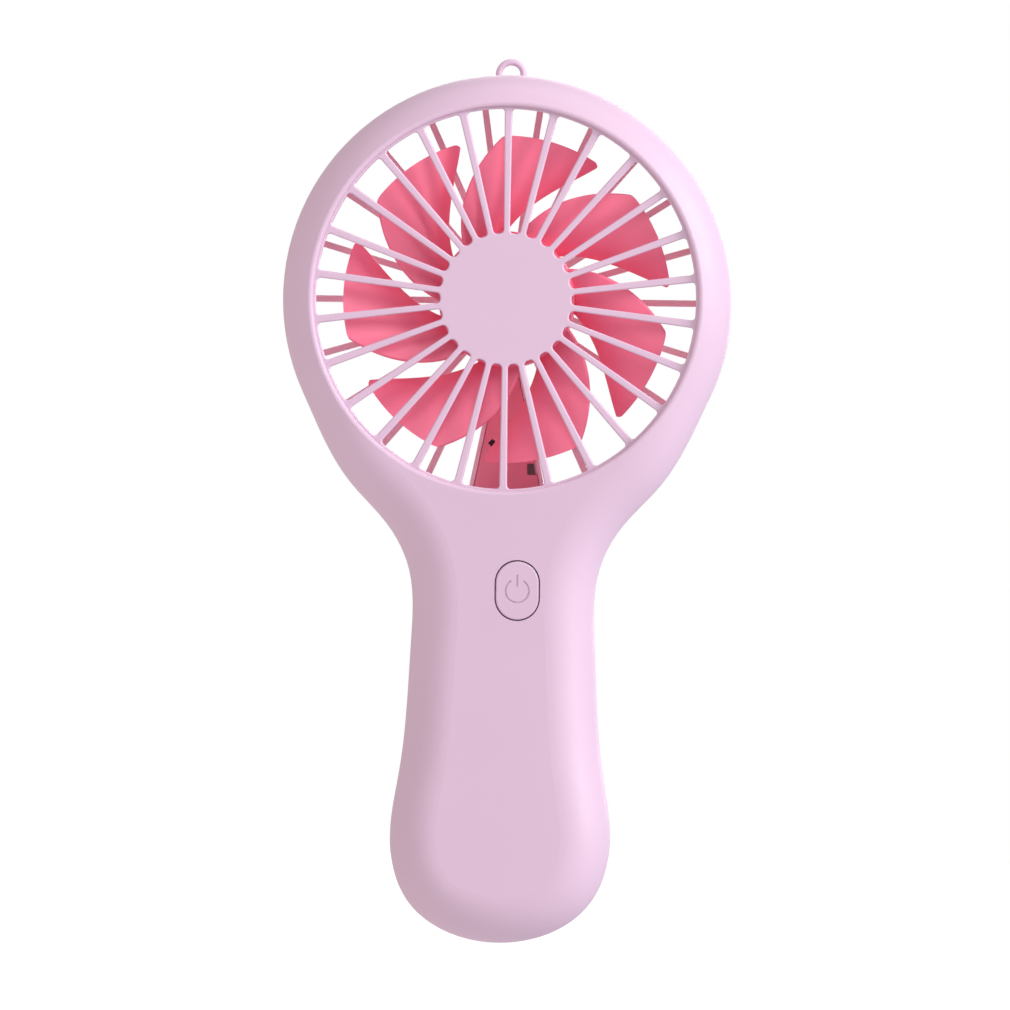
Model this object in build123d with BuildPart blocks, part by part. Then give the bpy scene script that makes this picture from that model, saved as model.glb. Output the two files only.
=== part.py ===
from build123d import *
import os
from math import atan2, cos, degrees, hypot, pi, radians, sin, sqrt, tan

# Handheld electric fan: a round head with a seven-bladed impeller on a waisted handle.
#
# Millimetres. X runs to the right seen from the front, the front faces -Y, and Z is up.
# The origin is at the handle's lowest point, below the head's axis, at half the depth.
# A depth called "front" is measured from the parting plane towards the front, so it is
# minus Y, and it is negative in the rear half.

# ---------------------------------------------------------------- casing
HEAD_RADIUS = 49.6
HEAD_HEIGHT = 142.2
HEAD_DEPTH = 32.0
WAIST_DEPTH = 26.0
BULB_DEPTH = 29.0
WALL = 2.0
EDGE_ROUND = 10.5
SHOULDER_ANGLE = 25.0
# Right-hand side of the handle, from the shoulder down to the round bottom: (across, height).
HANDLE_SIDE = [(34.0, 101.2), (26.0, 92.4), (21.1, 83.0), (20.3, 66.0), (22.4, 38.0),
               (24.25, 22.5), (19.7, 8.3), (14.7, 3.95), (10.1, 1.72)]
# Half the depth at a height; between these corners the front and the back are flat.
DEPTH_PROFILE = [(HEAD_DEPTH / 2, 220.0), (HEAD_DEPTH / 2, 112.0), (WAIST_DEPTH / 2, 62.0),
                 (BULB_DEPTH / 2, 20.0), (BULB_DEPTH / 2, -20.0)]
PROFILE_ROUNDS = [200.0, 170.0, 400.0]
SEAM_GROOVE_DEPTH = 0.3
SEAM_GROOVE_HEIGHT = 0.2
TONGUE_INSET = 1.1
TONGUE_HEIGHT = 1.4
GROOVE_CLEARANCE = 0.1

# ---------------------------------------------------------------- head openings and grilles
OPENING_RADIUS = 42.4
RIM_ROUND = 0.8
TUNNEL_RADIUS = 44.0
TUNNEL_WALL = 1.0
REAR_OPENING_RADIUS = 43.4
REAR_RIM_ROUND = 1.0
REAR_LIP_FRONT = -13.4
FRONT_SPOKES = 26
SPOKE_ROOT_WIDTH = 1.3
SPOKE_TIP_WIDTH = 1.66
SLOT_START = 14.5
SLOT_END = 41.9
SLOT_CORNERS = (1.0, 0.8)
SLOT_EDGE_ROUND = 0.35
GRILLE_BACK = 11.8
GRILLE_FRONT = 13.7
REAR_SPOKE_PITCHES = 22
REAR_SPOKE_WIDTH = 1.45
REAR_GRILLE_RADIUS = 43.9
REAR_PLATE_FRONT = -11.8
DUCT_HALF_ANGLE = 11.45
DUCT_WALL = 0.9
DUCT_FRONT = -7.8
COVER_THICKNESS = 1.0

# ---------------------------------------------------------------- impeller and motor
BLADES = 7
TIP_RADIUS = 36.1
HUB_RADIUS = 15.0
HUB_INNER_RADIUS = 13.7
HUB_FRONT = 10.5
HUB_BACK = -3.0
BLADE_THICKNESS = 1.1
BLADE_FRONT = 9.5
BLADE_BACK = 2.0
BLADE_ROOT_REACH = 14.6
# Each edge of the first blade: its angle clockwise from the top at the root, its sweep in
# degrees for each millimetre further out, and how that sweep changes with the distance.
FRONT_EDGE = (-40.6, 1.81, 0.0)
REAR_EDGE = (-3.2, 2.78, -0.049)
MOTOR_RADIUS = 12.0
MOTOR_FRONT = 3.5
MOTOR_BACK = -9.0
CAN_WALL = 0.9
SHAFT_RADIUS = 1.0
SHAFT_FRONT = 9.2
SHAFT_BACK = -8.3
CORE_RADIUS = 8.9
CORE_FRONT = 1.0
CORE_BACK = -4.0
POLES = 3
CORE_HUB_RADIUS = 2.6
COMMUTATOR_RADIUS = 2.4
COMMUTATOR_FRONT = -5.1
COMMUTATOR_BACK = -7.0
BUSH_RADIUS = 2.5
BELL_THICKNESS = 1.7
TERMINALS = [(-5.0, -4.0), (5.0, -4.0)]
TERMINAL_REACH = 2.0
RUNNING_FIT = 0.04

# ---------------------------------------------------------------- handle contents
BUTTON_CENTRE = (3.5, 78.0)
BUTTON_WIDTH = 9.5
BUTTON_HEIGHT = 12.9
BUTTON_GAP = 0.27
BUTTON_TRAVEL = 0.5
PLUNGER_FRONT = 3.7
PLUNGER_RADIUS = 1.75
CELL_RADIUS = 9.1
CELL_LENGTH = 65.0
CELL_BOTTOM = 7.0
SLEEVE_WALL = 0.12
TAB_THICKNESS = 0.2
BOARD_WIDTH = 24.0
BOARD_BOTTOM = 74.5
BOARD_TOP = 96.6
BOARD_THICKNESS = 1.0
BOARD_BACK = -6.8
BOARD_FRONT = BOARD_BACK + BOARD_THICKNESS
PORT_HEIGHT = 86.0
PORT_WIDTH = 8.94
PORT_THICKNESS = 3.2
PORT_LENGTH = 7.35
PORT_FLOOR = 1.0
PORT_WALL = 0.3
LAMP_PLACE = (7.0, 94.0)
LAMP_RADIUS = 1.2
WIRE_RADIUS = 0.6
SCREW_SEAT = -8.0
SCREW_HEAD_RADIUS = 1.75
SCREW_HEAD_HEIGHT = 1.4
SCREW_LENGTH = 13.0
SCREW_SHANK_RADIUS = 0.95
SCREW_CLEARANCE = 0.15
PILOT_DEPTH = 6.0
POST_RADIUS = 2.8
HEAD_POST_REACH = 46.4
HANDLE_POSTS = [(17.0, 98.0), (-17.0, 98.0), (14.5, 22.0), (-14.5, 22.0)]
BOARD_SCREWS = [(-9.5, 94.4), (9.5, 77.5)]
BOARD_SCREW_RADIUS = 0.8
BOARD_SCREW_HEAD_RADIUS = 1.6
BOARD_SCREW_HEAD_HEIGHT = 1.2
BOARD_SCREW_LENGTH = 5.2
CONTROL_CHIP_PLACE = (-6.0, 84.0)
CHARGE_CHIP_PLACE = (-4.8, 90.8)
INDUCTOR_PLACE = (5.0, 92.0)
LOOP_WIRE_RADIUS = 0.72
LOOP_RADIUS = 2.73
LOOP_RISE = 0.35

HEAD_TOP = HEAD_HEIGHT + HEAD_RADIUS
WALL_INSIDE = HEAD_DEPTH / 2 - WALL
HEAD = Plane(origin=(0, 0, HEAD_HEIGHT), x_dir=(1, 0, 0), z_dir=(0, -1, 0))
HEAD_POST_SHIFT = HEAD_POST_REACH * sin(radians(45))
HEAD_POSTS = [(side * HEAD_POST_SHIFT, HEAD_HEIGHT + HEAD_POST_SHIFT) for side in (-1, 1)]
POSTS = HANDLE_POSTS + HEAD_POSTS
# Each wire's corners (right, back, up) and the radius of the bend at each inner corner.
TERMINAL_END = HEAD_HEIGHT - 4.25
WIRES = {
    "motor_wire_red": ([(5.0, 11.1, TERMINAL_END), (5.0, 11.1, 135.5), (0.0, 11.1, 131.2),
                        (0.0, 11.1, 102.0), (2.2, 9.6, 95.0), (2.2, 6.8, 95.0)],
                       [2.0, 2.0, 8.0, 1.2]),
    "motor_wire_black": ([(-5.0, 9.75, TERMINAL_END), (-5.0, 9.75, 135.5), (0.0, 9.75, 131.2),
                          (0.0, 9.75, 102.0), (-2.2, 9.4, 92.6), (-2.2, 6.8, 92.6)],
                         [2.0, 2.0, 8.0, 1.2]),
    "battery_wire_red": ([(3.0, 1.6, 72.8), (3.0, 9.2, 72.8), (3.0, 9.2, 81.5),
                          (3.0, 6.8, 81.5)],
                         [2.5, 1.2]),
    "battery_wire_black": ([(-2.0, 1.0, 6.2), (-8.8, 6.6, 6.2), (-8.8, 6.6, 70.0),
                            (-3.0, 9.2, 76.0), (-3.0, 9.2, 81.5), (-3.0, 6.8, 81.5)],
                           [3.0, 12.0, 3.0, 1.2]),
}


def facing_front(front):
    """Plane parallel to the parting plane, looking out of the front."""
    return Plane.XZ.offset(front)


def on_head(sketch, front):
    """Sketch drawn as the head is seen from the front, placed at a depth."""
    return HEAD.offset(front) * sketch


def half_depth(height):
    """Half of the casing's depth on its centre line, without the profile's rounds."""
    for (upper_depth, upper), (lower_depth, lower) in zip(DEPTH_PROFILE, DEPTH_PROFILE[1:]):
        if lower <= height <= upper:
            share = (height - lower) / (upper - lower)
            return lower_depth + share * (upper_depth - lower_depth)
    raise ValueError("height outside the casing")


def finish(part, name):
    """Label a piece and write it."""
    part.label = name
    export_step(part, f"parts/{name}.step")
    print(f"{name}: {len(part.solids())} solids, {part.volume:.1f} mm3")


# ---------------------------------------------------------------- casing forms
def handle_side(inset):
    """Right-hand side of the casing below the shoulder, moved inwards by inset."""
    drop = radians(SHOULDER_ANGLE)
    leaving = (-sin(drop), -cos(drop))
    shoulder = (HEAD_RADIUS * cos(drop), HEAD_HEIGHT - HEAD_RADIUS * sin(drop))
    corners = [shoulder, *HANDLE_SIDE, (0, 0)]
    ends = {"tangents": (leaving, (-1, 0)), "tangent_scalars": (1.0, 1.0)}
    outer = Spline(*corners, **ends)
    moved = []
    for corner in corners:
        along = outer % outer.param_at_point(corner)
        moved.append((corner[0] + inset * along.Y, corner[1] - inset * along.X))
    return Spline(*moved, **ends)


def casing_outline(inset):
    """Front view of the casing, shrunk evenly by inset."""
    side = handle_side(inset)
    shoulder = side @ 0
    with BuildSketch(Plane.XZ) as outline:
        with BuildLine():
            ThreePointArc((-shoulder.X, shoulder.Y), (0, HEAD_TOP - inset), shoulder)
            add(side)
            mirror(side, about=Plane.YZ)
        make_face()
    return outline.sketch


def side_outline(inset):
    """Side view of the casing without its rounded edges, with its depth shrunk by inset."""
    corners = [(depth - inset, height) for depth, height in DEPTH_PROFILE]
    with BuildSketch(Plane.YZ) as outline:
        with BuildLine():
            back = FilletPolyline(*corners, radius=PROFILE_ROUNDS)
            front = mirror(back, about=Plane.YZ)
            Line(corners[0], (-corners[0][0], corners[0][1]))
            Line(corners[-1], (-corners[-1][0], corners[-1][1]))
        make_face()
    return outline.sketch


def casing_block(inset):
    """Solid of the casing's outer form, shrunk evenly by inset."""
    front_view = casing_outline(inset)
    side_view = side_outline(inset)
    with BuildPart() as block:
        extrude(front_view, amount=HEAD_DEPTH, both=True)
        extrude(side_view, amount=2 * HEAD_RADIUS, both=True, mode=Mode.INTERSECT)
        walls = block.faces().filter_by(lambda face: abs(face.normal_at().Y) < 0.01)
        fillet(walls.edges().filter_by(Axis.Y, reverse=True), EDGE_ROUND - inset)
    return block.part


def parting_ring(outer_inset, inner_inset, height):
    """Ring that follows the casing's wall along the parting plane."""
    outer_view = casing_outline(outer_inset)
    inner_view = casing_outline(inner_inset)
    with BuildPart() as ring:
        extrude(outer_view, amount=height)
        extrude(inner_view, amount=height, mode=Mode.SUBTRACT)
    return ring.part


def shell_fittings(side, block):
    """Screw posts and battery ribs of one casing half; side is 1 in front, -1 behind."""
    rib_heights = (16.0, 40.0, 62.0)
    rib_width = 14.8
    rib_thickness = 1.2
    rib_start = 5.2
    with BuildPart() as fittings:
        with BuildSketch(facing_front(0)):
            with Locations(*POSTS):
                Circle(POST_RADIUS)
        extrude(amount=side * HEAD_DEPTH / 2)
        for height in rib_heights:
            with BuildSketch(Plane.XY.offset(height - rib_thickness / 2)):
                with Locations((0, -side * (rib_start + HEAD_DEPTH / 4))):
                    Rectangle(rib_width, HEAD_DEPTH / 2)
                Circle(CELL_RADIUS + SLEEVE_WALL + 0.1, mode=Mode.SUBTRACT)
            extrude(amount=rib_thickness)
        add(block, mode=Mode.INTERSECT)
    return fittings.part


def opening_edges(shell, radius, depth):
    """Edges of a head opening of that radius that lie further out than depth."""
    def on_opening(edge):
        reaches = [hypot(point.X, point.Z - HEAD_HEIGHT) for point in (edge @ 0.25, edge @ 0.75)]
        return max(abs(reach - radius) for reach in reaches) < 0.02 and abs((edge @ 0.5).Y) > depth
    return shell.edges().filter_by(on_opening).filter_by(Axis.Y, reverse=True)


def ring_on_head(outer_radius, inner_radius, back, front):
    """Ring on the head's axis between two depths; a disc when the inner radius is nought."""
    with BuildPart() as ring:
        with BuildSketch(HEAD.offset(back)):
            Circle(outer_radius)
            if inner_radius > 0:
                Circle(inner_radius, mode=Mode.SUBTRACT)
        extrude(amount=front - back)
    return ring.part


def hollow_round_tunnel(cavity):
    """Cavity of the casing that leaves the wall of the head's air tunnel standing."""
    reach = HEAD_DEPTH / 2 + WALL
    with BuildPart() as hollow:
        add(cavity)
        add(ring_on_head(TUNNEL_RADIUS + TUNNEL_WALL, TUNNEL_RADIUS, -reach, reach),
            mode=Mode.SUBTRACT)
    return hollow.part


# ---------------------------------------------------------------- grilles
def slot_outline():
    """One slot of the front grille, lying along +X between two spokes."""
    half_pitch = radians(180 / FRONT_SPOKES)
    inner_round, outer_round = SLOT_CORNERS
    corners = []
    for reach, width in ((SLOT_START, SPOKE_ROOT_WIDTH), (SLOT_END, SPOKE_TIP_WIDTH)):
        along = sqrt(reach**2 - width**2 / 4)
        corners.append((along * cos(half_pitch) + width / 2 * sin(half_pitch),
                        along * sin(half_pitch) - width / 2 * cos(half_pitch)))
    inner, outer = corners
    with BuildSketch() as slot:
        with BuildLine():
            Line((inner[0], -inner[1]), (outer[0], -outer[1]))
            ThreePointArc((outer[0], -outer[1]), (SLOT_END, 0), outer)
            Line(outer, inner)
            Line(inner, (inner[0], -inner[1]))
        make_face()
        fillet(slot.vertices().group_by(Axis.X)[0], inner_round)
        fillet(slot.vertices().group_by(Axis.X)[-1], outer_round)
    return slot.sketch


def front_grille():
    """Spoked plate of the front opening, with softened slot edges."""
    slot = slot_outline()
    with BuildPart() as grille:
        with BuildSketch(HEAD.offset(GRILLE_BACK)):
            Circle(TUNNEL_RADIUS + 0.6 * TUNNEL_WALL)
            with PolarLocations(0, FRONT_SPOKES, start_angle=90 - 180 / FRONT_SPOKES):
                add(slot, mode=Mode.SUBTRACT)
        extrude(amount=GRILLE_FRONT - GRILLE_BACK)
        front_face = grille.faces().sort_by(Axis.Y)[0]
        fillet(front_face.inner_wires().edges(), SLOT_EDGE_ROUND)
    return grille.part


def duct_outline(radius_in, radius_out, side_inset):
    """Sector below the hub that holds the wires, with its straight sides moved in."""
    lean = radians(DUCT_HALF_ANGLE)
    far = 1.1 * radius_out
    half_width = far * tan(lean) - side_inset / cos(lean)
    with BuildSketch() as sector:
        with BuildLine():
            Polyline((0, -side_inset / sin(lean)), (half_width, -far), (-half_width, -far),
                     close=True)
        make_face()
        Circle(radius_out, mode=Mode.INTERSECT)
        Circle(radius_in, mode=Mode.SUBTRACT)
    return sector.sketch


def make_rear_grille():
    """Rear grille with its ring, spokes, motor cup and the open wire duct."""
    ring_wall = 0.6
    ring_front = -10.6
    cup_wall = 1.4
    cup_radius = MOTOR_RADIUS + cup_wall
    cup_front = -5.5
    spoke_round = 0.3
    pitch = 360 / REAR_SPOKE_PITCHES
    spoke_length = REAR_GRILLE_RADIUS - cup_radius
    spokes = REAR_SPOKE_PITCHES - 2
    duct = duct_outline(cup_radius - cup_wall / 2, REAR_GRILLE_RADIUS, 0)
    cover_seat = duct_outline(cup_radius, REAR_GRILLE_RADIUS + 1, DUCT_WALL)
    wire_channel = duct_outline(MOTOR_RADIUS - 1, REAR_GRILLE_RADIUS + 1, 1.5 * DUCT_WALL)
    with BuildPart() as rear_grille:
        with BuildSketch(HEAD.offset(REAR_LIP_FRONT)):
            with PolarLocations(cup_radius + spoke_length / 2 - ring_wall / 2, spokes,
                                start_angle=1.5 * pitch - 90,
                                angular_range=spokes * pitch):
                Rectangle(spoke_length, REAR_SPOKE_WIDTH)
        extrude(amount=REAR_PLATE_FRONT - REAR_LIP_FRONT)
        fillet(rear_grille.edges().filter_by(lambda edge: edge.length > spoke_length - 1),
               spoke_round)
        with BuildSketch(HEAD.offset(REAR_LIP_FRONT)):
            Circle(REAR_GRILLE_RADIUS)
            Circle(REAR_GRILLE_RADIUS - ring_wall, mode=Mode.SUBTRACT)
        extrude(amount=ring_front - REAR_LIP_FRONT)
        with BuildSketch(HEAD.offset(REAR_LIP_FRONT)):
            Circle(cup_radius)
        extrude(amount=cup_front - REAR_LIP_FRONT)
        extrude(on_head(duct, REAR_LIP_FRONT), amount=DUCT_FRONT - REAR_LIP_FRONT)
        extrude(on_head(cover_seat, DUCT_FRONT - COVER_THICKNESS), amount=2 * COVER_THICKNESS,
                mode=Mode.SUBTRACT)
        extrude(on_head(wire_channel, REAR_PLATE_FRONT), amount=DUCT_FRONT - REAR_PLATE_FRONT,
                mode=Mode.SUBTRACT)
        with BuildSketch(HEAD.offset(REAR_PLATE_FRONT)):
            Circle(MOTOR_RADIUS + RUNNING_FIT)
        extrude(amount=HEAD_DEPTH / 2, mode=Mode.SUBTRACT)
    return rear_grille.part


def make_wire_cover():
    """Cover plate of the wire duct, with its latch hole and finger notch."""
    plate = duct_outline(MOTOR_RADIUS + 1.5, REAR_GRILLE_RADIUS - 0.1, DUCT_WALL + 0.1)
    with BuildPart() as wire_cover:
        extrude(on_head(plate, DUCT_FRONT - COVER_THICKNESS), amount=COVER_THICKNESS)
        with BuildSketch(HEAD.offset(DUCT_FRONT)):
            with Locations((-3.3, -31.7)):
                Rectangle(1.4, 1.4, rotation=45)
            with Locations((5.6, -37.4)):
                RectangleRounded(2.2, 2.6, 0.4)
        extrude(amount=-COVER_THICKNESS, mode=Mode.SUBTRACT)
        outline = wire_cover.faces().sort_by(Axis.Y)[0].outer_wire().edges()
        fillet(outline.filter_by(lambda edge: edge.length > 5), 0.3)
    return wire_cover.part


# ---------------------------------------------------------------- casing halves
def button_outline(growth):
    """Stadium of the power button, grown evenly by growth."""
    with BuildSketch(facing_front(0)) as outline:
        with Locations(BUTTON_CENTRE):
            SlotOverall(BUTTON_HEIGHT + 2 * growth, BUTTON_WIDTH + 2 * growth, rotation=90)
    return outline.sketch


def loop_legs():
    """Both legs of the hang loop where they pass through the top of the casing."""
    with BuildPart() as legs:
        with BuildSketch(Plane.XY.offset(HEAD_TOP - WALL - 2)):
            with Locations((-LOOP_RADIUS, 0), (LOOP_RADIUS, 0)):
                Circle(LOOP_WIRE_RADIUS)
        extrude(amount=WALL + 2 + LOOP_RISE)
    return legs.part


def make_front_shell(outer, fitting_block, hollow):
    """Front casing half with the front grille, screw posts and button guide."""
    guide_back = 9.6
    guide_growth = 1.05
    guide_wall = 0.9
    guide_depth = half_depth(BUTTON_CENTRE[1]) - WALL - 0.45
    groove_height = TONGUE_HEIGHT + GROOVE_CLEARANCE
    groove = parting_ring(TONGUE_INSET - GROOVE_CLEARANCE, WALL, groove_height)
    fittings = shell_fittings(1, fitting_block)
    with BuildPart() as guide:
        extrude(button_outline(guide_growth + guide_wall), amount=HEAD_DEPTH / 2)
        add(fitting_block, mode=Mode.INTERSECT)
        split(bisect_by=facing_front(guide_back), keep=Keep.TOP)
    with BuildPart() as front_shell:
        add(outer)
        split(bisect_by=Plane.XZ, keep=Keep.TOP)
        with BuildSketch(HEAD.offset(GRILLE_BACK)):
            Circle(OPENING_RADIUS)
        extrude(amount=HEAD_DEPTH, mode=Mode.SUBTRACT)
        fillet(opening_edges(front_shell, OPENING_RADIUS, WALL_INSIDE), RIM_ROUND)
        add(hollow, mode=Mode.SUBTRACT)
        add(parting_ring(-1, SEAM_GROOVE_DEPTH, SEAM_GROOVE_HEIGHT), mode=Mode.SUBTRACT)
        add(fittings)
        add(ring_on_head(TUNNEL_RADIUS, 0, 0, GRILLE_BACK), mode=Mode.SUBTRACT)
        with BuildSketch(facing_front(0)):
            with Locations(*POSTS):
                Circle(SCREW_SHANK_RADIUS)
        extrude(amount=PILOT_DEPTH, mode=Mode.SUBTRACT)
        add(front_grille())
        add(guide.part)
        extrude(button_outline(guide_growth), amount=guide_depth, mode=Mode.SUBTRACT)
        extrude(button_outline(BUTTON_GAP), amount=HEAD_DEPTH, mode=Mode.SUBTRACT)
        add(groove, mode=Mode.SUBTRACT)
        add(loop_legs(), mode=Mode.SUBTRACT)
    return front_shell.part


def make_rear_shell(outer, fitting_block, hollow):
    """Rear casing half with the rear opening, screw wells, port and lamp holes."""
    board_post_radius = 2.2
    board_pilot_depth = 4.5
    port_gap = 0.18
    lamp_gap = 0.03
    tongue = parting_ring(TONGUE_INSET, WALL, TONGUE_HEIGHT)
    fittings = shell_fittings(-1, fitting_block)
    wire_gate = duct_outline(HUB_RADIUS, TUNNEL_RADIUS + 3 * TUNNEL_WALL, 0)
    with BuildPart() as rear_shell:
        add(outer)
        split(bisect_by=Plane.XZ, keep=Keep.BOTTOM)
        with BuildSketch(HEAD.offset(REAR_LIP_FRONT)):
            Circle(REAR_OPENING_RADIUS)
        extrude(amount=-HEAD_DEPTH, mode=Mode.SUBTRACT)
        fillet(opening_edges(rear_shell, REAR_OPENING_RADIUS, WALL_INSIDE), REAR_RIM_ROUND)
        add(hollow, mode=Mode.SUBTRACT)
        add(parting_ring(-1, SEAM_GROOVE_DEPTH, -SEAM_GROOVE_HEIGHT), mode=Mode.SUBTRACT)
        add(fittings)
        add(ring_on_head(TUNNEL_RADIUS, 0, REAR_LIP_FRONT, 0), mode=Mode.SUBTRACT)
        extrude(on_head(wire_gate, REAR_LIP_FRONT), amount=DUCT_FRONT - REAR_LIP_FRONT,
                mode=Mode.SUBTRACT)
        for across, height in BOARD_SCREWS:
            with BuildSketch(facing_front(BOARD_BACK)):
                with Locations((across, height)):
                    Circle(board_post_radius)
            extrude(amount=-half_depth(height) + WALL / 2 - BOARD_BACK)
            with BuildSketch(facing_front(BOARD_BACK)):
                with Locations((across, height)):
                    Circle(BOARD_SCREW_RADIUS)
            extrude(amount=-board_pilot_depth, mode=Mode.SUBTRACT)
        with BuildSketch(facing_front(0)):
            with Locations(*POSTS):
                Circle(SCREW_SHANK_RADIUS + SCREW_CLEARANCE)
        extrude(amount=-HEAD_DEPTH, mode=Mode.SUBTRACT)
        with BuildSketch(facing_front(SCREW_SEAT)):
            with Locations(*POSTS):
                Circle(SCREW_HEAD_RADIUS + SCREW_CLEARANCE)
        extrude(amount=-HEAD_DEPTH, mode=Mode.SUBTRACT)
        with BuildSketch(facing_front(BOARD_BACK)):
            with Locations((0, PORT_HEIGHT)):
                SlotOverall(PORT_WIDTH + 2 * port_gap, PORT_THICKNESS + 2 * port_gap)
            with Locations(LAMP_PLACE):
                Circle(LAMP_RADIUS + lamp_gap)
        extrude(amount=-HEAD_DEPTH, mode=Mode.SUBTRACT)
        add(tongue)
        add(loop_legs(), mode=Mode.SUBTRACT)
    return rear_shell.part


def make_hang_loop():
    """Loop on top of the head, with the foot that both casing halves hold."""
    foot_top = HEAD_TOP - WALL - 0.35
    foot_height = 1.6
    bow_height = HEAD_TOP + LOOP_RISE
    with BuildPart() as hang_loop:
        with BuildLine() as bow:
            ThreePointArc((-LOOP_RADIUS, 0, bow_height), (0, 0, bow_height + LOOP_RADIUS),
                          (LOOP_RADIUS, 0, bow_height))
        with BuildSketch(Plane(origin=bow.line @ 0, z_dir=bow.line % 0)):
            Circle(LOOP_WIRE_RADIUS)
        sweep(path=bow.line)
        add(loop_legs())
        split(bisect_by=Plane.XY.offset(foot_top - foot_height / 2), keep=Keep.TOP)
        with BuildSketch(Plane.XY.offset(foot_top - foot_height)):
            RectangleRounded(9.4, 2.6, 0.8)
        extrude(amount=foot_height)
    return hang_loop.part


# ---------------------------------------------------------------- button and switch
def make_power_button(outer):
    """Button whose face continues the casing's front, with an engraved power symbol."""
    flange_front = half_depth(BUTTON_CENTRE[1]) - WALL - 0.55
    flange_growth = 0.8
    flange_thickness = 0.8
    stem_radius = 2.0
    symbol_radius = 2.57
    line_width = 0.34
    engraving = 0.25
    ring_height = -0.05
    bar_height = 2.2
    bar_length = 2.7
    rise = half_depth(BUTTON_CENTRE[1] + 5) - half_depth(BUTTON_CENTRE[1] - 5)
    lean = atan2(rise, 10)
    face_plane = Plane(origin=(BUTTON_CENTRE[0], -half_depth(BUTTON_CENTRE[1]), BUTTON_CENTRE[1]),
                       x_dir=(1, 0, 0), z_dir=(0, -cos(lean), -sin(lean)))
    with BuildPart() as power_button:
        extrude(button_outline(0), amount=HEAD_DEPTH)
        add(outer, mode=Mode.INTERSECT)
        split(bisect_by=facing_front(flange_front - flange_thickness / 2), keep=Keep.TOP)
        fillet(power_button.faces().sort_by(Axis.Y)[0].edges(), 0.35)
        with BuildSketch(facing_front(flange_front - flange_thickness)):
            with Locations(BUTTON_CENTRE):
                SlotOverall(BUTTON_HEIGHT + 2 * flange_growth, BUTTON_WIDTH + 2 * flange_growth,
                            rotation=90)
        extrude(amount=flange_thickness)
        with BuildSketch(facing_front(PLUNGER_FRONT)):
            with Locations(BUTTON_CENTRE):
                Circle(stem_radius)
        extrude(amount=flange_front - PLUNGER_FRONT)
        with BuildSketch(face_plane):
            with BuildLine(mode=Mode.PRIVATE) as ring:
                CenterArc((0, ring_height), symbol_radius, 125, 290)
            SlotArc(ring.line.edge(), line_width)
            with Locations((0, bar_height)):
                SlotOverall(bar_length, line_width, rotation=90)
        extrude(amount=engraving, both=True, mode=Mode.SUBTRACT)
    return power_button.part


def make_switch_body():
    """Square body of the push switch, with its four legs."""
    size = 6.2
    height = 3.5
    floor = 0.9
    with BuildPart() as switch_body:
        with BuildSketch(facing_front(BOARD_FRONT)):
            with Locations(BUTTON_CENTRE):
                RectangleRounded(size, size, 0.4)
        extrude(amount=height)
        chamfer(switch_body.faces().sort_by(Axis.Y)[0].edges(), 0.25)
        with BuildSketch(facing_front(BOARD_FRONT)):
            with Locations(BUTTON_CENTRE):
                with GridLocations(size, 4.2, 2, 2):
                    Rectangle(1.4, 0.7)
        extrude(amount=floor)
        with BuildSketch(facing_front(BOARD_FRONT + floor)):
            with Locations(BUTTON_CENTRE):
                Circle(PLUNGER_RADIUS + RUNNING_FIT)
        extrude(amount=height, mode=Mode.SUBTRACT)
    return switch_body.part


def make_switch_plunger():
    """Plunger that the button's stem pushes into the switch."""
    back = BOARD_FRONT + 0.9 + BUTTON_TRAVEL + 0.1
    with BuildPart() as switch_plunger:
        with BuildSketch(facing_front(back)):
            with Locations(BUTTON_CENTRE):
                Circle(PLUNGER_RADIUS)
        extrude(amount=PLUNGER_FRONT - back)
        chamfer(switch_plunger.faces().sort_by(Axis.Y)[-1].edges(), 0.2)
    return switch_plunger.part


# ---------------------------------------------------------------- impeller
def edge_angle(edge, reach):
    """Angle of one blade edge, clockwise from the top, at a distance from the axis."""
    start, sweep_rate, bend = edge
    past_root = reach - BLADE_ROOT_REACH
    return start + sweep_rate * past_root + bend * past_root**2


def blade_point(reach, angle, front):
    """Point at an angle clockwise from the top, as the head is seen from the front."""
    return Vector(reach * sin(radians(angle)), reach * cos(radians(angle)), front)


def blade_trim():
    """Front view of one blade's limits: the tip circle with its two rounded corners."""
    margin = 0.4
    sides = []
    for edge, way in ((FRONT_EDGE, -1), (REAR_EDGE, 1)):
        points = []
        for reach in (HUB_INNER_RADIUS - 1, 21.0, 28.0, TIP_RADIUS):
            angle = edge_angle(edge, reach) + way * degrees(margin / reach)
            points.append(blade_point(reach, angle, 0))
        sides.append(Spline(*points))
    tip_angle = (edge_angle(FRONT_EDGE, TIP_RADIUS) + edge_angle(REAR_EDGE, TIP_RADIUS)) / 2
    with BuildSketch() as trim:
        with BuildLine():
            add(sides)
            ThreePointArc(sides[0] @ 1, blade_point(TIP_RADIUS, tip_angle, 0), sides[1] @ 1)
            Line(sides[0] @ 0, sides[1] @ 0)
        make_face()
        for corner, radius in ((sides[0] @ 1, 4.0), (sides[1] @ 1, 1.2)):
            fillet(trim.vertices().sort_by_distance(corner)[0], radius)
    return trim.sketch


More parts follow.
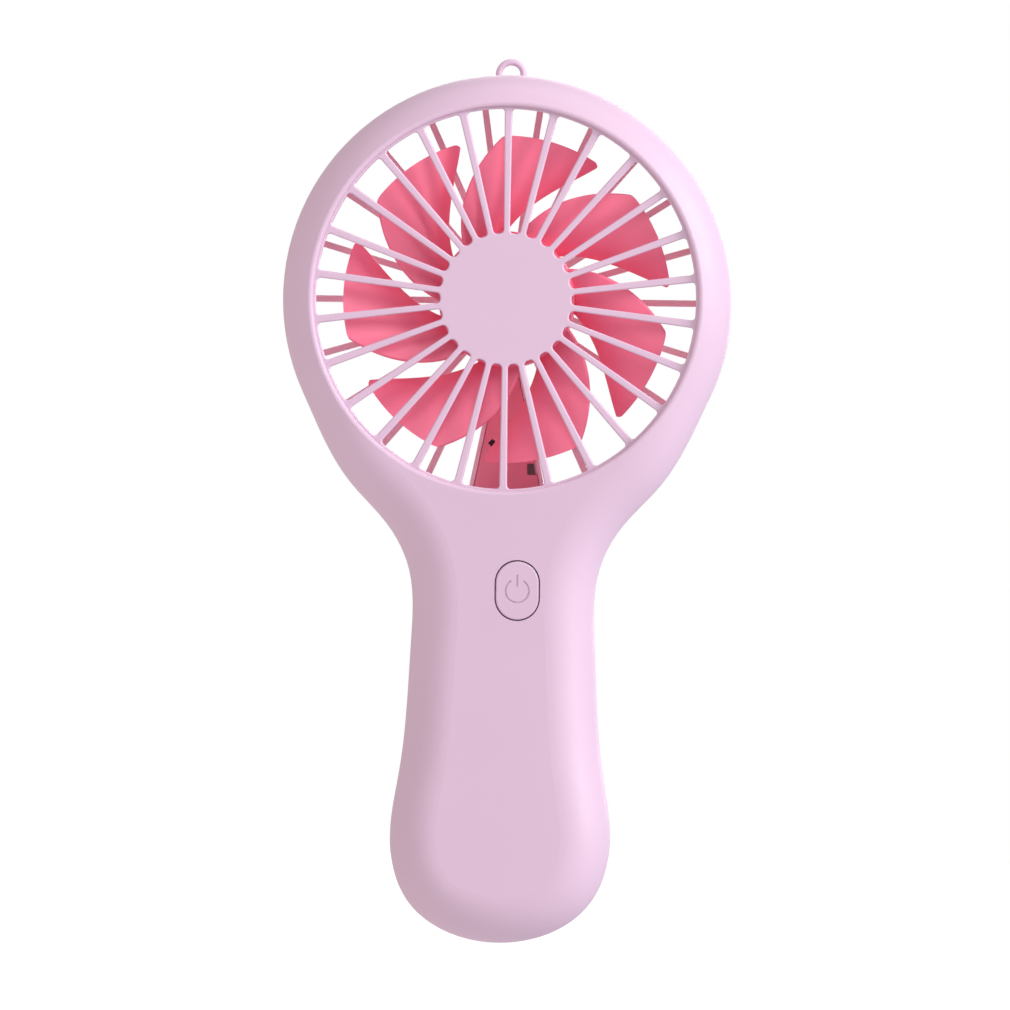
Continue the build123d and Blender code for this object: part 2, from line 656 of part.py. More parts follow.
def make_blade():
    """One swept and twisted blade, cupped towards the front."""
    camber = 0.07
    trim = blade_trim()
    with BuildPart() as blade:
        for reach in (14.3, 20.0, 26.0, 32.0, 39.5):
            front_end = blade_point(reach, edge_angle(FRONT_EDGE, reach), BLADE_FRONT)
            rear_end = blade_point(reach, edge_angle(REAR_EDGE, reach), BLADE_BACK)
            chord = rear_end - front_end
            middle = (rear_end + front_end) * 0.5
            half = chord.length / 2 - BLADE_THICKNESS / 2
            bulge = -2 * half * camber
            outward = Vector(middle.X, middle.Y, 0)
            with BuildSketch(Plane(origin=middle, x_dir=chord, z_dir=outward)):
                with BuildLine(mode=Mode.PRIVATE) as centre_line:
                    ThreePointArc((-half, 0), (0, bulge), (half, 0))
                SlotArc(centre_line.line.edge(), BLADE_THICKNESS)
        loft()
        extrude(trim, amount=HEAD_DEPTH / 2, mode=Mode.INTERSECT)
    return blade.part


def make_impeller():
    """Hub cup with seven blades and a boss pressed on the shaft."""
    boss_radius = 2.6
    boss_back = 5.4
    hub_wall = HUB_RADIUS - HUB_INNER_RADIUS
    blade = make_blade()
    with BuildPart(HEAD) as impeller:
        with BuildSketch(HEAD.offset(HUB_BACK)):
            Circle(HUB_RADIUS)
        extrude(amount=HUB_FRONT - HUB_BACK)
        fillet(impeller.faces().sort_by(Axis.Y)[0].edges(), 1.4)
        with PolarLocations(0, BLADES):
            add(blade)
        with BuildSketch(HEAD.offset(HUB_BACK)):
            Circle(HUB_INNER_RADIUS)
        extrude(amount=HUB_FRONT - HUB_BACK - hub_wall, mode=Mode.SUBTRACT)
        with BuildSketch(HEAD.offset(boss_back)):
            Circle(boss_radius)
        extrude(amount=HUB_FRONT - boss_back - hub_wall / 2)
        with BuildSketch(HEAD.offset(boss_back)):
            Circle(SHAFT_RADIUS)
        extrude(amount=SHAFT_FRONT - boss_back, mode=Mode.SUBTRACT)
    return impeller.part


# ---------------------------------------------------------------- motor
def make_motor_can():
    """Drawn steel can, open at the back, with a raised pocket for the front bush."""
    with BuildPart() as motor_can:
        add(ring_on_head(MOTOR_RADIUS, 0, MOTOR_BACK + 0.4, MOTOR_FRONT))
        fillet(motor_can.faces().sort_by(Axis.Y)[0].edges(), 1.0)
        add(ring_on_head(3.2, 0, MOTOR_FRONT - 0.5, MOTOR_FRONT + 1.2))
        add(ring_on_head(MOTOR_RADIUS - CAN_WALL, 0, MOTOR_BACK, MOTOR_FRONT - CAN_WALL),
            mode=Mode.SUBTRACT)
        add(ring_on_head(BUSH_RADIUS, 0, MOTOR_BACK, MOTOR_FRONT + 0.9), mode=Mode.SUBTRACT)
        add(ring_on_head(SHAFT_RADIUS + 0.3, 0, 0, HUB_FRONT), mode=Mode.SUBTRACT)
    return motor_can.part


def make_motor_end_bell():
    """Moulded cap that closes the back of the can and holds the rear bush."""
    bell_front = MOTOR_BACK + BELL_THICKNESS
    terminal_slot = (1.7, 0.6)
    with BuildPart() as motor_end_bell:
        add(ring_on_head(MOTOR_RADIUS - CAN_WALL, 0, MOTOR_BACK, bell_front))
        add(ring_on_head(BUSH_RADIUS, 0, MOTOR_BACK + 0.6, bell_front), mode=Mode.SUBTRACT)
        with BuildSketch(HEAD.offset(MOTOR_BACK)):
            with Locations(*TERMINALS):
                Rectangle(*terminal_slot)
        extrude(amount=bell_front - MOTOR_BACK, mode=Mode.SUBTRACT)
    return motor_end_bell.part


def make_motor_magnets():
    """Two arc magnets on the inside of the can."""
    outer_radius = MOTOR_RADIUS - CAN_WALL
    inner_radius = CORE_RADIUS + 0.4
    with BuildPart() as motor_magnets:
        add(ring_on_head(outer_radius, inner_radius, CORE_BACK - 1, CORE_FRONT + 1))
        with BuildSketch(HEAD.offset(CORE_BACK - 1)):
            Rectangle(6, 3 * outer_radius)
        extrude(amount=CORE_FRONT - CORE_BACK + 2, mode=Mode.SUBTRACT)
        fillet(motor_magnets.edges().filter_by(Axis.Y), 0.3)
    return motor_magnets.part


def make_motor_brushes():
    """Two carbon brushes on leaf springs, either side of the commutator."""
    brush_back = -6.9
    brush_width = 2.2
    brush_start = COMMUTATOR_RADIUS + RUNNING_FIT
    brush_depth = 1.6
    with BuildPart() as motor_brushes:
        for side in (-1, 1):
            with BuildSketch(HEAD.offset(brush_back)):
                with Locations((side * (brush_start + brush_depth / 2), 0)):
                    Rectangle(brush_depth, brush_width)
                with Locations((side * (brush_start + brush_depth + 0.15), -2.6)):
                    Rectangle(0.3, 2 * 2.6 + brush_width)
            extrude(amount=1.6)
    return motor_brushes.part


def make_motor_terminals():
    """Two terminal blades that stick out of the end bell."""
    with BuildPart() as motor_terminals:
        with BuildSketch(HEAD.offset(MOTOR_BACK - TERMINAL_REACH)):
            with Locations(*TERMINALS):
                Rectangle(1.6, 0.5)
        extrude(amount=TERMINAL_REACH + BELL_THICKNESS)
    return motor_terminals.part


def make_motor_shaft():
    """Steel shaft with chamfered ends."""
    with BuildPart() as motor_shaft:
        add(ring_on_head(SHAFT_RADIUS, 0, SHAFT_BACK, SHAFT_FRONT))
        chamfer(motor_shaft.edges().filter_by(GeomType.CIRCLE), 0.15)
    return motor_shaft.part


def make_armature_core():
    """Laminated three-pole core pressed on the shaft."""
    arm_width = 2.4
    shoe_depth = 1.1
    shoe_gap = 2.4
    with BuildPart() as armature_core:
        with BuildSketch(HEAD.offset(CORE_BACK)):
            Circle(CORE_RADIUS)
            Circle(CORE_RADIUS - shoe_depth, mode=Mode.SUBTRACT)
            with PolarLocations(CORE_RADIUS, POLES, start_angle=90 + 180 / POLES):
                Rectangle(3 * shoe_depth, shoe_gap, mode=Mode.SUBTRACT)
            Circle(CORE_HUB_RADIUS)
            with PolarLocations(CORE_RADIUS / 2, POLES, start_angle=90):
                Rectangle(CORE_RADIUS - shoe_depth, arm_width)
            Circle(SHAFT_RADIUS, mode=Mode.SUBTRACT)
        extrude(amount=CORE_FRONT - CORE_BACK)
    return armature_core.part


def make_armature_windings():
    """One enamelled copper coil round each arm of the core."""
    coil_length = 3.6
    coil_width = 5.2
    overhang = 0.9
    core = make_armature_core()
    with BuildPart() as armature_windings:
        with BuildSketch(HEAD.offset(CORE_BACK - overhang)):
            with PolarLocations(CORE_HUB_RADIUS + 0.2 + coil_length / 2, POLES, start_angle=90):
                Rectangle(coil_length, coil_width)
        extrude(amount=CORE_FRONT - CORE_BACK + 2 * overhang)
        fillet(armature_windings.edges().filter_by(Axis.Y), 0.5)
        add(core, mode=Mode.SUBTRACT)
    return armature_windings.part


def make_commutator():
    """Three copper segments on the shaft."""
    with BuildPart() as commutator:
        add(ring_on_head(COMMUTATOR_RADIUS, SHAFT_RADIUS, COMMUTATOR_BACK, COMMUTATOR_FRONT))
        with BuildSketch(HEAD.offset(COMMUTATOR_BACK)):
            with PolarLocations(COMMUTATOR_RADIUS, POLES, start_angle=90):
                Rectangle(0.8, 0.25)
        extrude(amount=1.9, mode=Mode.SUBTRACT)
    return commutator.part


def make_thrust_washers():
    """Nylon washers that keep the rotor between its bushes."""
    washer_radius = 1.9
    places = ((CORE_FRONT + 1.0, CORE_FRONT + 1.5), (COMMUTATOR_BACK - 0.25, COMMUTATOR_BACK - 0.05))
    with BuildPart() as thrust_washers:
        for back, front in places:
            add(ring_on_head(washer_radius, SHAFT_RADIUS + RUNNING_FIT, back, front))
    return thrust_washers.part


def make_bush(back, front):
    """Bronze bush that the shaft runs in."""
    return ring_on_head(BUSH_RADIUS, SHAFT_RADIUS + RUNNING_FIT, back, front)


# ---------------------------------------------------------------- battery
def make_battery_cell():
    """Round lithium cell with its rolled-in neck and raised positive end."""
    with BuildPart() as battery_cell:
        with BuildSketch(Plane.XY.offset(CELL_BOTTOM)):
            Circle(CELL_RADIUS)
        extrude(amount=CELL_LENGTH - 0.8)
        fillet(battery_cell.edges().filter_by(GeomType.CIRCLE), 0.6)
        with BuildSketch(Plane.XY.offset(CELL_BOTTOM + CELL_LENGTH - 0.8)):
            Circle(3.6)
        extrude(amount=0.8)
        with BuildSketch(Plane.XY.offset(CELL_BOTTOM + CELL_LENGTH - 4.5)):
            Circle(CELL_RADIUS + 1)
            Circle(CELL_RADIUS - 0.6, mode=Mode.SUBTRACT)
        extrude(amount=1.0, mode=Mode.SUBTRACT)
    return battery_cell.part


def make_battery_sleeve():
    """Shrunk plastic sleeve round the cell."""
    with BuildPart() as battery_sleeve:
        with BuildSketch(Plane.XY.offset(CELL_BOTTOM + 0.7)):
            Circle(CELL_RADIUS + SLEEVE_WALL)
            Circle(CELL_RADIUS, mode=Mode.SUBTRACT)
        extrude(amount=CELL_LENGTH - 2.2)
    return battery_sleeve.part


def make_battery_tabs():
    """Welded nickel strips on both ends of the cell."""
    with BuildPart() as battery_tabs:
        with BuildSketch(Plane.XY.offset(CELL_BOTTOM + CELL_LENGTH)):
            with Locations((1.4, 1.6)):
                RectangleRounded(5.4, 6.4, 0.8)
        extrude(amount=TAB_THICKNESS)
        with BuildSketch(Plane.XY.offset(CELL_BOTTOM - TAB_THICKNESS)):
            with Locations((-1.4, 1.6)):
                RectangleRounded(5.4, 6.4, 0.8)
        extrude(amount=TAB_THICKNESS)
    return battery_tabs.part


def make_battery_pads(cavity):
    """Foam pads between the cell and both casing halves."""
    pad_width = 6.0
    pad_length = 12.0
    pad_height = 51.0
    pad_depth = 4.0
    with BuildPart() as battery_pads:
        for side in (-1, 1):
            with BuildSketch(Plane.XY.offset(pad_height - pad_length / 2)):
                with Locations((0, side * (CELL_RADIUS + pad_depth / 2))):
                    Rectangle(pad_width, pad_depth)
                Circle(CELL_RADIUS + SLEEVE_WALL, mode=Mode.SUBTRACT)
            extrude(amount=pad_length)
        add(cavity, mode=Mode.INTERSECT)
    return battery_pads.part


# ---------------------------------------------------------------- circuit board
def make_circuit_board():
    """Board behind the button, with its two screw holes."""
    with BuildPart() as circuit_board:
        with BuildSketch(facing_front(BOARD_BACK)):
            with Locations((0, (BOARD_TOP + BOARD_BOTTOM) / 2)):
                RectangleRounded(BOARD_WIDTH, BOARD_TOP - BOARD_BOTTOM, 1.0)
            with Locations(*BOARD_SCREWS):
                Circle(BOARD_SCREW_RADIUS + SCREW_CLEARANCE, mode=Mode.SUBTRACT)
        extrude(amount=BOARD_THICKNESS)
    return circuit_board.part


def small_outline_chip(across, height):
    """Eight-legged chip on the board's front."""
    leg_pitch = 1.27
    with BuildPart() as chip:
        with BuildSketch(facing_front(BOARD_FRONT)):
            with Locations((across, height)):
                with GridLocations(5.2, leg_pitch, 2, 4):
                    Rectangle(1.0, 0.42)
        extrude(amount=0.25)
        with BuildSketch(facing_front(BOARD_FRONT + 0.1)):
            with Locations((across, height)):
                Rectangle(4.4, 4.9)
        extrude(amount=1.5)
        chamfer(chip.faces().sort_by(Axis.Y)[0].edges(), 0.15)
    return chip.part


def make_power_inductor():
    """Drum inductor with a square base."""
    with BuildPart() as power_inductor:
        with BuildSketch(facing_front(BOARD_FRONT)):
            with Locations(INDUCTOR_PLACE):
                RectangleRounded(5.2, 5.2, 0.9)
        extrude(amount=2.8)
        fillet(power_inductor.faces().sort_by(Axis.Y)[0].edges(), 0.3)
        with BuildSketch(facing_front(BOARD_FRONT + 2.6)):
            with Locations(INDUCTOR_PLACE):
                Circle(1.5)
        extrude(amount=0.2, mode=Mode.SUBTRACT)
    return power_inductor.part


def make_board_capacitors():
    """Two rows of chip capacitors on the board's front."""
    length = 2.0
    width = 1.2
    height = 1.0
    upper_place = (0, 93.0)
    lower_place = (0.2, 86.6)
    with BuildPart() as board_capacitors:
        with BuildSketch(facing_front(BOARD_FRONT)):
            with Locations(upper_place):
                with GridLocations(0, 2 * width, 1, 3):
                    Rectangle(length, width)
            with Locations(lower_place):
                with GridLocations(2.6, 0, 2, 1):
                    Rectangle(width, length)
        extrude(amount=height)
        chamfer(board_capacitors.faces().sort_by(Axis.Y)[:5].edges(), height / 10)
    return board_capacitors.part


def make_usb_c_shell():
    """Metal shell of the charging port, open at the back of the handle."""
    with BuildPart() as usb_c_shell:
        with BuildSketch(facing_front(BOARD_BACK)):
            with Locations((0, PORT_HEIGHT)):
                SlotOverall(PORT_WIDTH, PORT_THICKNESS)
        extrude(amount=-PORT_LENGTH)
        with BuildSketch(facing_front(BOARD_BACK - PORT_FLOOR)):
            with Locations((0, PORT_HEIGHT)):
                SlotOverall(PORT_WIDTH - 2 * PORT_WALL, PORT_THICKNESS - 2 * PORT_WALL)
        extrude(amount=-PORT_LENGTH, mode=Mode.SUBTRACT)
    return usb_c_shell.part


def make_usb_c_tongue():
    """Plastic tongue inside the charging port."""
    base_front = BOARD_BACK - PORT_FLOOR
    with BuildPart() as usb_c_tongue:
        with BuildSketch(facing_front(base_front)):
            with Locations((0, PORT_HEIGHT)):
                SlotOverall(PORT_WIDTH - 2 * PORT_WALL, PORT_THICKNESS - 2 * PORT_WALL)
        extrude(amount=-0.8)
        with BuildSketch(facing_front(base_front)):
            with Locations((0, PORT_HEIGHT)):
                Rectangle(6.7, 0.7)
        extrude(amount=-PORT_LENGTH + 1.9)
        chamfer(usb_c_tongue.faces().sort_by(Axis.Y)[-1].edges(), 0.15)
    return usb_c_tongue.part


def make_charge_led():
    """Charge lamp on the board's back."""
    with BuildPart() as charge_led:
        with BuildSketch(facing_front(BOARD_BACK)):
            with Locations(LAMP_PLACE):
                Rectangle(1.6, 3.0)
        extrude(amount=-0.6)
        with BuildSketch(facing_front(BOARD_BACK - 0.6)):
            with Locations(LAMP_PLACE):
                Rectangle(1.5, 1.9)
        extrude(amount=-0.6, taper=8)
    return charge_led.part


def make_led_lens():
    """Clear light pipe from the charge lamp to the handle's back."""
    lens_front = BOARD_BACK - 1.4
    lens_end = -half_depth(LAMP_PLACE[1]) - 0.1
    flange_radius = 1.9
    with BuildPart() as led_lens:
        with BuildSketch(facing_front(lens_front)):
            with Locations(LAMP_PLACE):
                Circle(LAMP_RADIUS)
        extrude(amount=lens_end - lens_front)
        fillet(led_lens.faces().sort_by(Axis.Y)[-1].edges(), 0.4)
        with BuildSketch(facing_front(-half_depth(LAMP_PLACE[1]) + WALL + 0.3)):
            with Locations(LAMP_PLACE):
                Circle(flange_radius)
        extrude(amount=0.8)
    return led_lens.part


# ---------------------------------------------------------------- fasteners and wires
def pan_screw(places, seat, head_radius, head_height, shank_radius, length):
    """Group of identical cross-slotted screws, driven from the back or the front of a seat."""
    way = 1 if length > 0 else -1
    with BuildPart() as screws:
        with BuildSketch(facing_front(seat)):
            with Locations(*places):
                Circle(head_radius)
        extrude(amount=-way * head_height)
        crowns = screws.faces().filter_by(
            lambda face: abs(face.center().Y + seat - way * head_height) < 0.01)
        fillet(crowns.edges(), head_height / 3)
        with BuildSketch(facing_front(seat)):
            with Locations(*places):
                Circle(shank_radius)
        extrude(amount=length)
        with BuildSketch(facing_front(seat - way * head_height)):
            with Locations(*places):
                Rectangle(head_radius * 1.2, head_radius * 0.25)
                Rectangle(head_radius * 0.25, head_radius * 1.2)
        extrude(amount=way * head_height * 0.6, mode=Mode.SUBTRACT)
    return screws.part


def make_wire(points, bends):
    """Insulated wire along straight runs joined by tangent arcs of the given radii."""
    with BuildPart() as wire:
        with BuildLine() as route:
            FilletPolyline(*points, radius=bends)
        path = route.wire()
        with BuildSketch(Plane(origin=path @ 0, z_dir=path % 0)):
            Circle(WIRE_RADIUS)
        sweep(path=path)
    solid_share = wire.part.volume / (pi * WIRE_RADIUS**2 * path.length)
    print(f"wire of {path.length:.1f} mm, volume over section times length {solid_share:.4f}")
    return wire.part


# ---------------------------------------------------------------- all pieces
os.makedirs("parts", exist_ok=True)
OUTER = casing_block(0)
MIDDLE = casing_block(WALL / 2)
CAVITY = casing_block(WALL)
HOLLOW = hollow_round_tunnel(CAVITY)
finish(make_front_shell(OUTER, MIDDLE, HOLLOW), "front_shell")
finish(make_rear_shell(OUTER, MIDDLE, HOLLOW), "rear_shell")
finish(make_rear_grille(), "rear_grille")
finish(make_wire_cover(), "wire_cover")
finish(make_hang_loop(), "hang_loop")
finish(pan_screw(POSTS, SCREW_SEAT, SCREW_HEAD_RADIUS, SCREW_HEAD_HEIGHT, SCREW_SHANK_RADIUS,
                 SCREW_LENGTH), "shell_screws")
finish(make_power_button(OUTER), "power_button")
finish(make_switch_body(), "switch_body")
finish(make_switch_plunger(), "switch_plunger")
finish(make_impeller(), "impeller")
finish(make_motor_can(), "motor_can")
finish(make_motor_end_bell(), "motor_end_bell")
finish(make_motor_magnets(), "motor_magnets")
finish(make_motor_brushes(), "motor_brushes")
finish(make_motor_terminals(), "motor_terminals")
finish(make_bush(MOTOR_FRONT - CAN_WALL, MOTOR_FRONT + CAN_WALL), "front_bush")
finish(make_bush(MOTOR_BACK + 0.6, MOTOR_BACK + BELL_THICKNESS), "rear_bush")
finish(make_motor_shaft(), "motor_shaft")
finish(make_armature_core(), "armature_core")
finish(make_armature_windings(), "armature_windings")
finish(make_commutator(), "commutator")
finish(make_thrust_washers(), "thrust_washers")
finish(make_battery_cell(), "battery_cell")
finish(make_battery_sleeve(), "battery_sleeve")
finish(make_battery_tabs(), "battery_tabs")
finish(make_battery_pads(CAVITY), "battery_pads")
finish(make_circuit_board(), "circuit_board")
finish(small_outline_chip(*CONTROL_CHIP_PLACE), "control_chip")
finish(small_outline_chip(*CHARGE_CHIP_PLACE), "charge_chip")
finish(make_power_inductor(), "power_inductor")
finish(make_board_capacitors(), "board_capacitors")
finish(pan_screw(BOARD_SCREWS, BOARD_FRONT, BOARD_SCREW_HEAD_RADIUS, BOARD_SCREW_HEAD_HEIGHT,
                 BOARD_SCREW_RADIUS, -BOARD_SCREW_LENGTH), "board_screws")
finish(make_usb_c_shell(), "usb_c_shell")
finish(make_usb_c_tongue(), "usb_c_tongue")
finish(make_charge_led(), "charge_led")
finish(make_led_lens(), "led_lens")
for wire_name, (wire_points, wire_bends) in WIRES.items():
    finish(make_wire(wire_points, wire_bends), wire_name)
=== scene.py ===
import math

import bpy
from mathutils import Matrix, Vector

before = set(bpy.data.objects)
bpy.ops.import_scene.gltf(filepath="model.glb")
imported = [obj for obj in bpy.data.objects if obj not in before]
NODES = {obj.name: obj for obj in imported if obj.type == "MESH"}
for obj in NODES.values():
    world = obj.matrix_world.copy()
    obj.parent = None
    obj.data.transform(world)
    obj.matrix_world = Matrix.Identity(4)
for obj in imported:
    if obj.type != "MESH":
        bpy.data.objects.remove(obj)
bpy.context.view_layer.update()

# Camera: long lens, a little to the right of straight ahead. Metres, but the sensor in millimetres.
CAMERA_TARGET = Vector((0.0, 0.0, 0.0968))
CAMERA_DISTANCE = 2.4
CAMERA_YAW = math.radians(2.15)
CAMERA_ROLL = math.radians(0.85)
SEEN_WIDTH = 0.2237
SENSOR_WIDTH = 36.0
NEAREST_SEEN = 0.1
FARTHEST_SEEN = 20.0

# Light of the room on the fan: colour from either side, strength from below and above.
ROOM_LEFT = (0.58, 0.515, 0.485)
ROOM_RIGHT = (0.40, 0.41, 0.46)
ROOM_BELOW = 1.95
ROOM_ABOVE = 1.0
WHITE = (1.0, 1.0, 1.0, 1.0)

# Square lights that look at the middle of the fan: (name, place, size, power in watts).
LIGHT_TARGET = Vector((0.0, 0.0, 0.11))
LIGHTS = [
    ("key", (1.1, -0.5, 0.6), 0.6, 15.3),
    ("front_top", (0.1, -0.95, 0.7), 0.5, 2.1),
    ("overhead", (0.15, -0.1, 1.5), 0.6, 1.9),
    ("back_light", (0.3, 1.5, 0.6), 1.0, 11.8),
]

FLOOR_RADIUS = 0.6
FLOOR_CORNERS = 128
FLOOR_DROP = 0.0002
FLOOR_COLOUR = (0.26, 0.26, 0.26, 1.0)
FLOOR_GLOW = 0.9

# Part of a noise texture's 0 to 1 range that holds nearly all of its values.
NOISE_LOW = 0.3
NOISE_HIGH = 0.7
# Noise scales, in features per metre, of the slow drift of colour, of the gloss and of drawn lines.
DRIFT_SCALE = 28.0
GLOSS_SCALE = 160.0
LINE_SCALE = 220.0
LINE_DEPTH = 0.000004


# ---------------------------------------------------------------- camera, light and floor
def make_camera():
    """Aims the camera at the middle of the fan and rolls it, as the fan leans in the view."""
    data = bpy.data.cameras.new("camera")
    data.sensor_width = SENSOR_WIDTH
    data.lens = SENSOR_WIDTH * CAMERA_DISTANCE / SEEN_WIDTH
    data.clip_start = NEAREST_SEEN
    data.clip_end = FARTHEST_SEEN
    camera = bpy.data.objects.new("camera", data)
    bpy.context.scene.collection.objects.link(camera)
    back = Vector((math.sin(CAMERA_YAW), -math.cos(CAMERA_YAW), 0.0))
    camera.location = CAMERA_TARGET + back * CAMERA_DISTANCE
    camera.rotation_mode = "QUATERNION"
    upright = (-back).to_track_quat("-Z", "Y")
    camera.rotation_quaternion = upright @ Matrix.Rotation(CAMERA_ROLL, 3, "Z").to_quaternion()
    bpy.context.scene.camera = camera
    bpy.context.scene.view_settings.view_transform = "Standard"


def area_light(name, place, size, power):
    """Soft square light that looks at the middle of the fan."""
    data = bpy.data.lights.new(name, "AREA")
    data.shape = "SQUARE"
    data.size = size
    data.energy = power
    light = bpy.data.objects.new(name, data)
    bpy.context.scene.collection.objects.link(light)
    light.location = place
    light.rotation_mode = "QUATERNION"
    light.rotation_quaternion = (LIGHT_TARGET - light.location).to_track_quat("-Z", "Y")


def make_world():
    """White to look at; on the fan, a dimmer room: warmer on the left and brighter from below."""
    world = bpy.data.worlds.new("studio")
    world.use_nodes = True
    nodes = world.node_tree.nodes
    links = world.node_tree.links
    white = nodes["Background"]
    white.inputs["Color"].default_value = WHITE
    room = nodes.new("ShaderNodeBackground")
    heading = nodes.new("ShaderNodeSeparateXYZ")
    links.new(nodes.new("ShaderNodeTexCoord").outputs["Generated"], heading.inputs["Vector"])
    across = nodes.new("ShaderNodeMapRange")
    across.inputs["From Min"].default_value = -1.0
    links.new(heading.outputs["X"], across.inputs["Value"])
    tint = nodes.new("ShaderNodeValToRGB")
    tint.color_ramp.elements[0].color = (*ROOM_LEFT, 1.0)
    tint.color_ramp.elements[1].color = (*ROOM_RIGHT, 1.0)
    links.new(across.outputs["Result"], tint.inputs["Fac"])
    links.new(tint.outputs["Color"], room.inputs["Color"])
    upward = nodes.new("ShaderNodeMapRange")
    upward.inputs["From Min"].default_value = -1.0
    upward.inputs["To Min"].default_value = ROOM_BELOW
    upward.inputs["To Max"].default_value = ROOM_ABOVE
    links.new(heading.outputs["Z"], upward.inputs["Value"])
    links.new(upward.outputs["Result"], room.inputs["Strength"])
    choice = nodes.new("ShaderNodeMixShader")
    links.new(nodes.new("ShaderNodeLightPath").outputs["Is Camera Ray"], choice.inputs["Fac"])
    links.new(room.outputs["Background"], choice.inputs[1])
    links.new(white.outputs["Background"], choice.inputs[2])
    links.new(choice.outputs["Shader"], nodes["World Output"].inputs["Surface"])
    bpy.context.scene.world = world


def make_floor():
    """Pale floor that shows only a faint contact shadow."""
    bpy.ops.mesh.primitive_circle_add(vertices=FLOOR_CORNERS, radius=FLOOR_RADIUS, fill_type="NGON")
    floor = bpy.context.object
    floor.name = "floor"
    floor.location.z = -FLOOR_DROP
    material = bpy.data.materials.new("floor_paper")
    material.use_nodes = True
    shader = material.node_tree.nodes["Principled BSDF"]
    shader.inputs["Base Color"].default_value = FLOOR_COLOUR
    shader.inputs["Roughness"].default_value = 1.0
    shader.inputs["Specular IOR Level"].default_value = 0.0
    shader.inputs["Emission Color"].default_value = WHITE
    shader.inputs["Emission Strength"].default_value = FLOOR_GLOW
    floor.data.materials.append(material)
    floor.visible_diffuse = False
    floor.visible_glossy = False


# ---------------------------------------------------------------- materials
class Surface:
    """Principled material with a few helpers that add procedural detail to it."""

    def __init__(self, name, colour, roughness, metallic=0.0):
        self.material = bpy.data.materials.new(name)
        self.material.use_nodes = True
        self.nodes = self.material.node_tree.nodes
        self.links = self.material.node_tree.links
        self.shader = self.nodes["Principled BSDF"]
        self.colour = colour
        self.roughness = roughness
        self.shader.inputs["Base Color"].default_value = (*colour, 1.0)
        self.shader.inputs["Roughness"].default_value = roughness
        self.shader.inputs["Metallic"].default_value = metallic
        self.place = self.nodes.new("ShaderNodeTexCoord").outputs["Object"]

    def stretched(self, scale):
        """Object coordinates with a different scale along each axis."""
        mapping = self.nodes.new("ShaderNodeMapping")
        mapping.inputs["Scale"].default_value = scale
        self.links.new(self.place, mapping.inputs["Vector"])
        return mapping.outputs["Vector"]

    def noise(self, scale, detail=3.0, place=None):
        """Noise pattern from 0 to 1, in object coordinates unless others are given."""
        texture = self.nodes.new("ShaderNodeTexNoise")
        texture.inputs["Scale"].default_value = scale
        texture.inputs["Detail"].default_value = detail
        self.links.new(place or self.place, texture.inputs["Vector"])
        return texture.outputs["Fac"]

    def span(self, pattern, low, high):
        """Maps a noise pattern to the range from low to high."""
        remap = self.nodes.new("ShaderNodeMapRange")
        remap.inputs["From Min"].default_value = NOISE_LOW
        remap.inputs["From Max"].default_value = NOISE_HIGH
        remap.inputs["To Min"].default_value = low
        remap.inputs["To Max"].default_value = high
        self.links.new(pattern, remap.inputs["Value"])
        return remap.outputs["Result"]

    def mottle(self, pattern, darker, lighter):
        """Varies the colour between two multiples of itself along a pattern."""
        ramp = self.nodes.new("ShaderNodeValToRGB")
        ramp.color_ramp.elements[0].position = NOISE_LOW
        ramp.color_ramp.elements[1].position = NOISE_HIGH
        for element, share in zip(ramp.color_ramp.elements, (darker, lighter)):
            element.color = (*[min(1.0, channel * share) for channel in self.colour], 1.0)
        self.links.new(pattern, ramp.inputs["Fac"])
        self.links.new(ramp.outputs["Color"], self.shader.inputs["Base Color"])

    def vary_roughness(self, pattern, spread):
        """Varies the roughness along a pattern by up to the spread either way."""
        value = self.span(pattern, self.roughness - spread, self.roughness + spread)
        self.links.new(value, self.shader.inputs["Roughness"])

    def bump(self, pattern, depth):
        """Relief of that depth in metres."""
        bump = self.nodes.new("ShaderNodeBump")
        bump.inputs["Distance"].default_value = depth
        bump.inputs["Strength"].default_value = 1.0
        self.links.new(pattern, bump.inputs["Height"])
        self.links.new(bump.outputs["Normal"], self.shader.inputs["Normal"])


def moulded(name, colour, roughness, grain=2600.0, depth=0.00001, spread=0.04, shade=0.02):
    """Moulded plastic: fine spark-eroded grain, cloudy gloss and a faint drift of colour."""
    surface = Surface(name, colour, roughness)
    surface.mottle(surface.noise(DRIFT_SCALE), 1.0 - shade, 1.0 + shade)
    surface.vary_roughness(surface.noise(GLOSS_SCALE), spread)
    surface.bump(surface.noise(grain, detail=2.0), depth)
    return surface


def brushed(name, colour, roughness, stretch=(1.0, 40.0, 40.0)):
    """Metal with fine drawn lines along one axis."""
    surface = Surface(name, colour, roughness, metallic=1.0)
    lines = surface.noise(LINE_SCALE, detail=4.0, place=surface.stretched(stretch))
    surface.mottle(lines, 0.9, 1.05)
    surface.vary_roughness(lines, 0.08)
    surface.bump(lines, LINE_DEPTH)
    return surface


